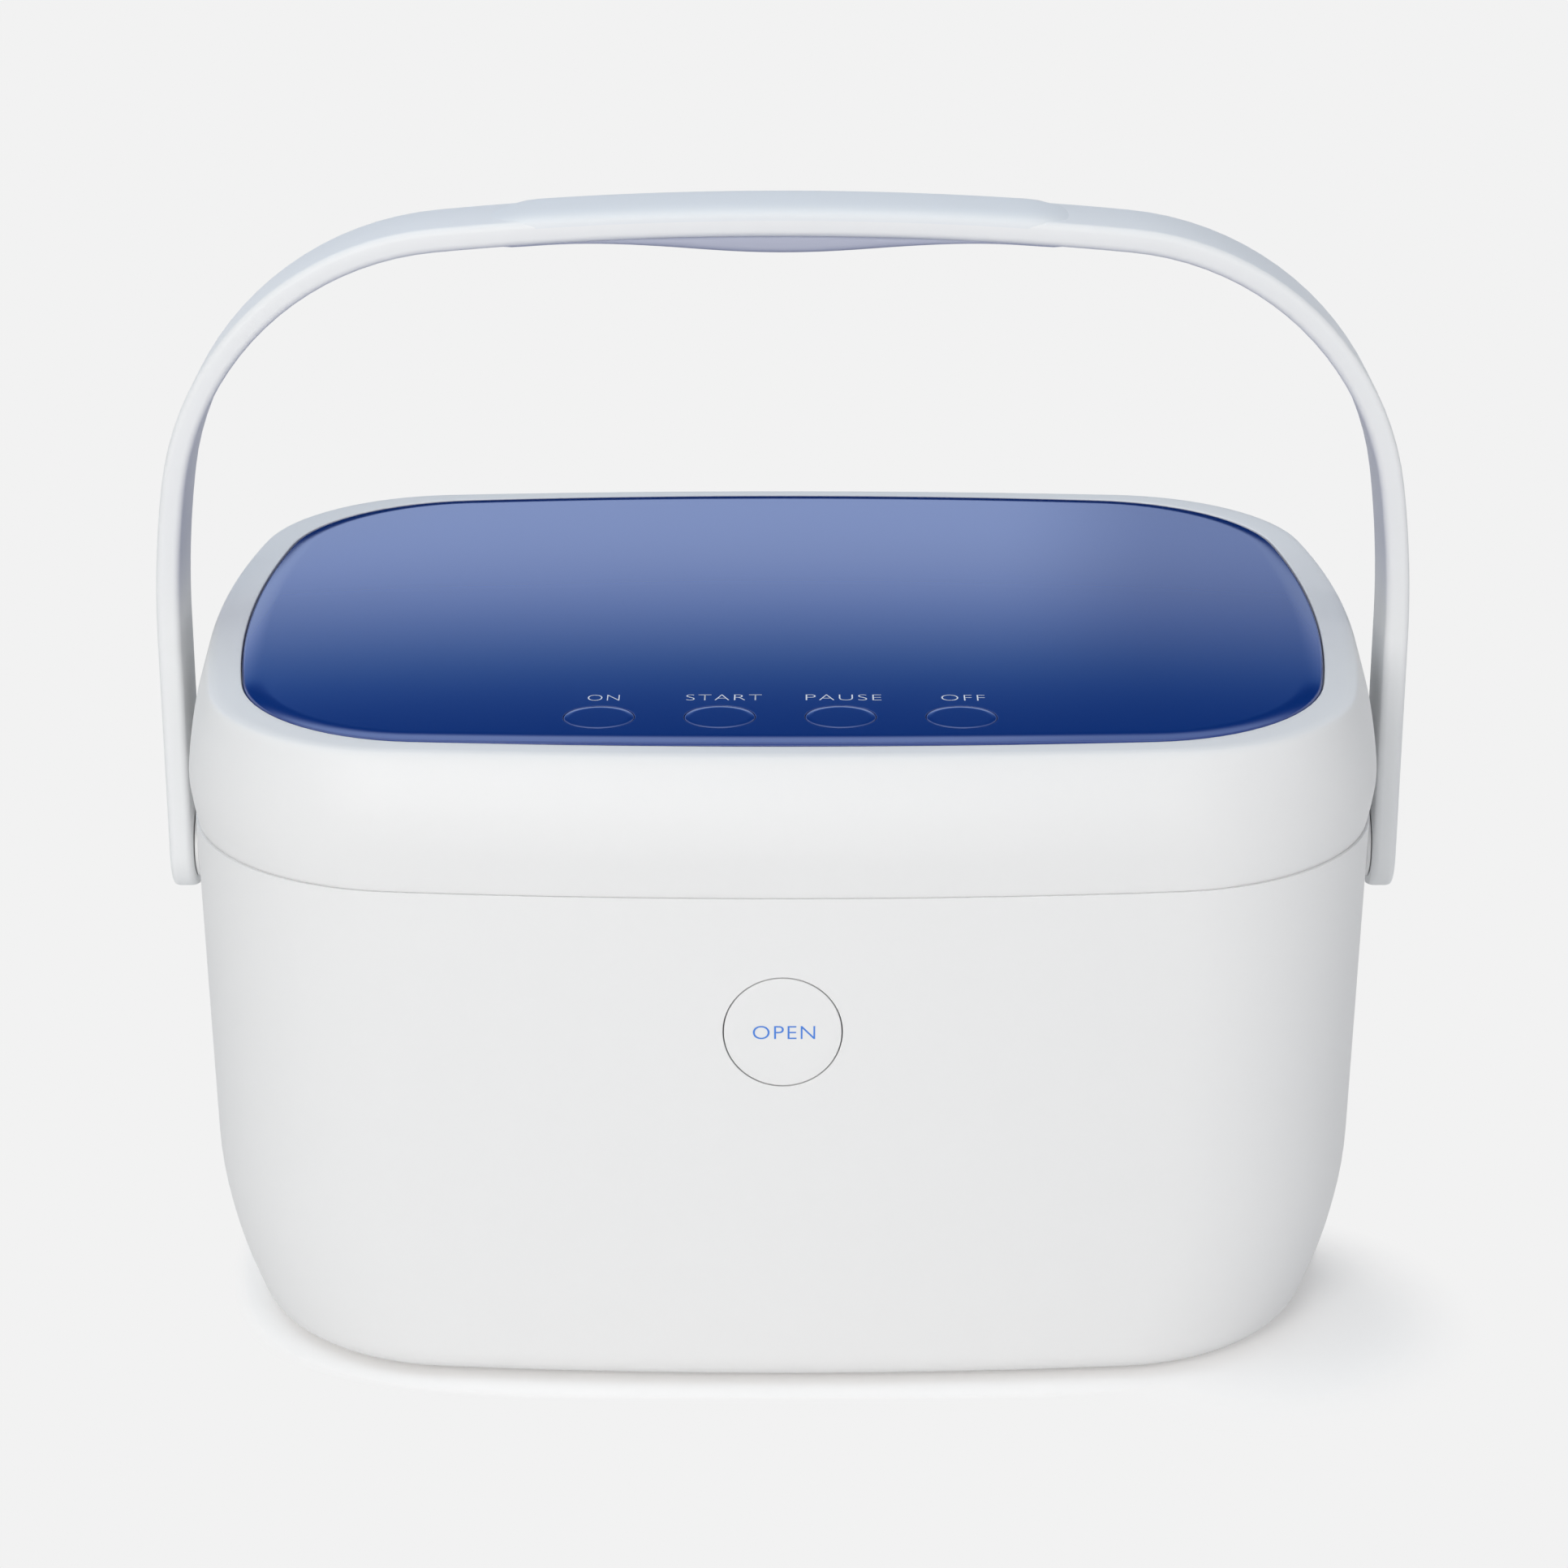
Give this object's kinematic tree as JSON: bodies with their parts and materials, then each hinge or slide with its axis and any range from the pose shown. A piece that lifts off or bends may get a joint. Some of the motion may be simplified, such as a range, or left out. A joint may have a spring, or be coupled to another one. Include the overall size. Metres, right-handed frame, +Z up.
{
  "type": "cpap sanitizer",
  "caption": "Box-shaped ultraviolet sanitizer with a hinged lid, blue control panel, push buttons, release button and a bowed carry handle that folds forward.",
  "frame": {"origin": "on the table under the middle of the whole object, seen from above", "axes": "+X right, +Y towards the hinge at the back, +Z up"},
  "size_m": [0.316, 0.2285, 0.272],
  "materials": {
    "white_abs": "satin moulded",
    "soft_grip": "soft touch",
    "grip_grey": "satin moulded",
    "grey_rubber": "matt",
    "polished_liner": "polished",
    "steel_wire": "polished",
    "steel": "turned",
    "nylon": "moulded",
    "quartz": "clear",
    "board": "satin",
    "battery_sleeve": "shrink sleeve",
    "black_plastic": "moulded",
    "blue_gloss": "high gloss"
  },
  "bodies": {
    "base": {"base_shell": "white_abs", "bottom_cover": "white_abs", "bottom_screws": "steel", "rubber_feet": "grey_rubber", "inner_tub": "polished_liner", "rim_gasket": "grey_rubber", "wire_rack": "steel_wire", "base_lamp_window": "quartz", "base_lamp_board": "board", "battery_pack": "battery_sleeve", "main_board": "board", "dc_socket": "black_plastic", "hinge_pins": "steel", "pivot_pins": "steel", "pivot_washers": "nylon", "button_guide": "nylon", "open_spring": "steel"},
    "lid": {"lid_shell": "white_abs", "lid_panel": "blue_gloss", "lid_liner": "polished_liner", "liner_screws": "steel", "lid_strike": "nylon", "lid_lamp_window": "quartz", "lid_lamp_board": "board", "control_board": "board", "switch_mat": "grey_rubber"},
    "handle": {"handle_bail": "white_abs", "grip_pad": "soft_grip", "grip_insert": "grip_grey"},
    "open_button": {"open_button": "white_abs"},
    "latch": {"latch_slider": "nylon"},
    "button_on": {"button_on": "blue_gloss"},
    "button_start": {"button_start": "blue_gloss"},
    "button_pause": {"button_pause": "blue_gloss"},
    "button_off": {"button_off": "blue_gloss"}
  },
  "joints": [
    {"name": "lid_hinge", "type": "hinge", "parent": "base", "child": "lid", "pos_m": [0, 0.1128, 0.1302], "axis": [-1, 0, 0], "range_deg": [0, 63]},
    {"name": "handle_fold", "type": "hinge", "parent": "base", "child": "handle", "pos_m": [0, 0, 0.101], "axis": [1, 0, 0], "range_deg": [0, 119.7]},
    {"name": "open_press", "type": "slide", "parent": "base", "child": "open_button", "axis": [0, 1, 0], "range_m": [0, 0.002], "stiffness_N_per_m": 800, "springref_m": -0.001, "deforming": ["open_spring"]},
    {"name": "latch_slide", "type": "slide", "parent": "base", "child": "latch", "axis": [0, 1, 0], "range_m": [0, 0.002]},
    {"name": "press_on", "type": "slide", "parent": "lid", "child": "button_on", "axis": [0, 0, -1], "range_m": [0, 0.001], "stiffness_N_per_m": 600, "springref_m": -0.001},
    {"name": "press_start", "type": "slide", "parent": "lid", "child": "button_start", "axis": [0, 0, -1], "range_m": [0, 0.001], "stiffness_N_per_m": 600, "springref_m": -0.001},
    {"name": "press_pause", "type": "slide", "parent": "lid", "child": "button_pause", "axis": [0, 0, -1], "range_m": [0, 0.001], "stiffness_N_per_m": 600, "springref_m": -0.001},
    {"name": "press_off", "type": "slide", "parent": "lid", "child": "button_off", "axis": [0, 0, -1], "range_m": [0, 0.001], "stiffness_N_per_m": 600, "springref_m": -0.001}
  ],
  "couplings": [
    {"joint": "handle_fold", "follows": "lid_hinge", "ratio": 1.9},
    {"joint": "latch_slide", "follows": "open_press", "ratio": 1}
  ]
}
